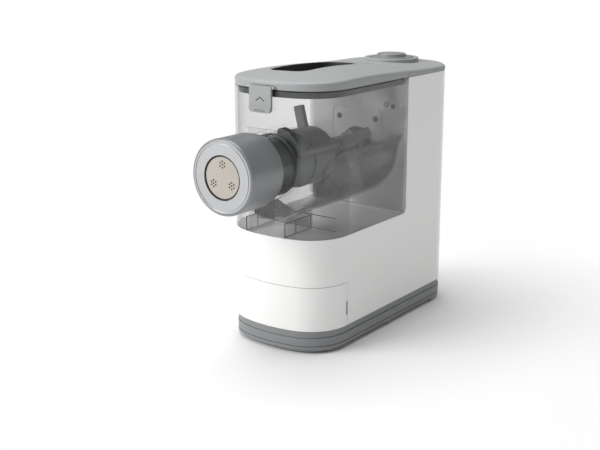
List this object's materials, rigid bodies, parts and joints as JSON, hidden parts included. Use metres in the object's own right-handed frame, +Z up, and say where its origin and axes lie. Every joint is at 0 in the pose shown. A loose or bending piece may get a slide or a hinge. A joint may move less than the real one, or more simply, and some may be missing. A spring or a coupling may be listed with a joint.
{
  "type": "electric pasta maker",
  "caption": "Countertop pasta maker: clear mixing tub with paddle and screw, nose nut with shaping disc, lid with water slot, knob on the rear tower, drawer in the base.",
  "frame": {"origin": "under the middle of the whole object, on the table", "axes": "+Z up, the nose points along -Y, X is across; the body is symmetric across X but for the slot, pins and inner gears"},
  "size_m": [0.135, 0.35, 0.2967],
  "materials": {
    "white_shell": "gloss",
    "grey_base": "satin",
    "rubber": "matt",
    "steel": "satin",
    "grey_cover": "satin",
    "clear_tub": "clear smoky plastic",
    "dark_plastic": "satin",
    "paddle_grey": "satin",
    "nut_grey": "satin",
    "silver_face": "satin",
    "disc_beige": "satin",
    "black_plastic": "matt",
    "gear_white": "satin",
    "gear_metal": "machined",
    "copper": "satin",
    "board_green": "matt"
  },
  "bodies": {
    "housing": {"main_housing": "white_shell", "base_tray": "grey_base", "rubber_feet": "rubber", "housing_screws": "steel", "drive_panel": "white_shell", "panel_screws": "dark_plastic", "drawer_bay": "dark_plastic", "rear_cover": "grey_cover", "knob_dish": "grey_cover", "selector_switch": "black_plastic", "control_board": "board_green", "board_shelf": "black_plastic", "gearbox_plate": "gear_metal", "gearbox_case": "dark_plastic", "gearbox_screws": "steel", "gear_pins": "steel", "output_bearings": "copper", "motor_can": "steel", "motor_bearings": "copper", "motor_end_cap": "black_plastic", "motor_brushes": "black_plastic", "interlock_bushes": "dark_plastic", "micro_switches": "black_plastic", "switch_bracket": "steel", "cord_gland": "black_plastic"},
    "drawer": {"drawer_front": "white_shell", "drawer_tray": "grey_cover"},
    "chamber": {"mixing_chamber": "clear_tub", "extrusion_barrel": "paddle_grey"},
    "lid": {"lid_shell": "grey_cover", "lid_skirt": "dark_plastic", "lid_hinge_pin": "steel", "latch_pin": "steel"},
    "latch": {"lid_latch": "grey_cover"},
    "paddle": {"mixing_paddle": "paddle_grey", "auger_screw": "paddle_grey"},
    "disc": {"shaping_disc": "disc_beige", "disc_seal": "black_plastic"},
    "nut": {"disc_nut": "nut_grey", "nut_face_ring": "silver_face"},
    "drive": {"output_gear": "gear_white", "drive_shaft": "steel", "drive_coupling": "black_plastic"},
    "second_cluster": {"second_stage_gear": "gear_white"},
    "first_cluster": {"first_stage_gear": "gear_white"},
    "rotor": {"rotor_shaft": "steel", "rotor_core": "gear_metal", "commutator": "copper", "motor_fan": "black_plastic", "motor_pinion": "steel"},
    "knob": {"selector_knob": "grey_base", "knob_shaft": "steel"},
    "lid_pin": {"lid_pin": "grey_cover"},
    "chamber_pin": {"chamber_pin": "dark_plastic"}
  },
  "joints": [
    {"name": "drawer_slide", "type": "slide", "parent": "housing", "child": "drawer", "axis": [0, -1, 0], "range_m": [0, 0.1]},
    {"name": "chamber_slide", "type": "slide", "parent": "housing", "child": "chamber", "axis": [0, -1, 0], "range_m": [0, 0.15]},
    {"name": "lid_hinge", "type": "hinge", "parent": "chamber", "child": "lid", "pos_m": [0, 0.0599, 0.287], "axis": [-1, 0, 0], "range_deg": [0, 85]},
    {"name": "latch_hinge", "type": "hinge", "parent": "lid", "child": "latch", "pos_m": [0, -0.1057, 0.2816], "axis": [-1, 0, 0], "range_deg": [0, 25], "stiffness_Nm_per_rad": 0.05},
    {"name": "paddle_spin", "type": "hinge", "parent": "chamber", "child": "paddle", "pos_m": [0, 0, 0.2], "axis": [0, 1, 0], "continuous": true},
    {"name": "disc_slide", "type": "slide", "parent": "chamber", "child": "disc", "axis": [0, -1, 0], "range_m": [0, 0.012]},
    {"name": "nut_turn", "type": "hinge", "parent": "disc", "child": "nut", "pos_m": [0, -0.15, 0.2], "axis": [0, 1, 0], "range_deg": [0, 1080]},
    {"name": "drive_spin", "type": "hinge", "parent": "housing", "child": "drive", "pos_m": [0, 0.09, 0.2], "axis": [0, 1, 0], "continuous": true},
    {"name": "second_gear_spin", "type": "hinge", "parent": "housing", "child": "second_cluster", "pos_m": [0, 0.09, 0.1475], "axis": [0, 1, 0], "continuous": true},
    {"name": "first_gear_spin", "type": "hinge", "parent": "housing", "child": "first_cluster", "pos_m": [0.026, 0.09, 0.11231], "axis": [0, 1, 0], "continuous": true},
    {"name": "rotor_spin", "type": "hinge", "parent": "housing", "child": "rotor", "pos_m": [0, 0.13, 0.08741], "axis": [0, 1, 0], "continuous": true},
    {"name": "knob_turn", "type": "hinge", "parent": "housing", "child": "knob", "pos_m": [0, 0.138, 0.288], "axis": [0, 0, 1], "range_deg": [-60, 60]},
    {"name": "lid_pin_press", "type": "slide", "parent": "housing", "child": "lid_pin", "axis": [0, 1, 0], "range_m": [0, 0.0025], "stiffness_N_per_m": 200},
    {"name": "chamber_pin_press", "type": "slide", "parent": "housing", "child": "chamber_pin", "axis": [0, 1, 0], "range_m": [0, 0.0025], "stiffness_N_per_m": 200}
  ],
  "couplings": [
    {"joint": "first_gear_spin", "follows": "rotor_spin", "ratio": -0.2},
    {"joint": "second_gear_spin", "follows": "rotor_spin", "ratio": 0.05},
    {"joint": "drive_spin", "follows": "rotor_spin", "ratio": -0.0125},
    {"joint": "paddle_spin", "follows": "rotor_spin", "ratio": -0.0125},
    {"joint": "disc_slide", "follows": "nut_turn", "m_per_rad": 0.00063662}
  ]
}
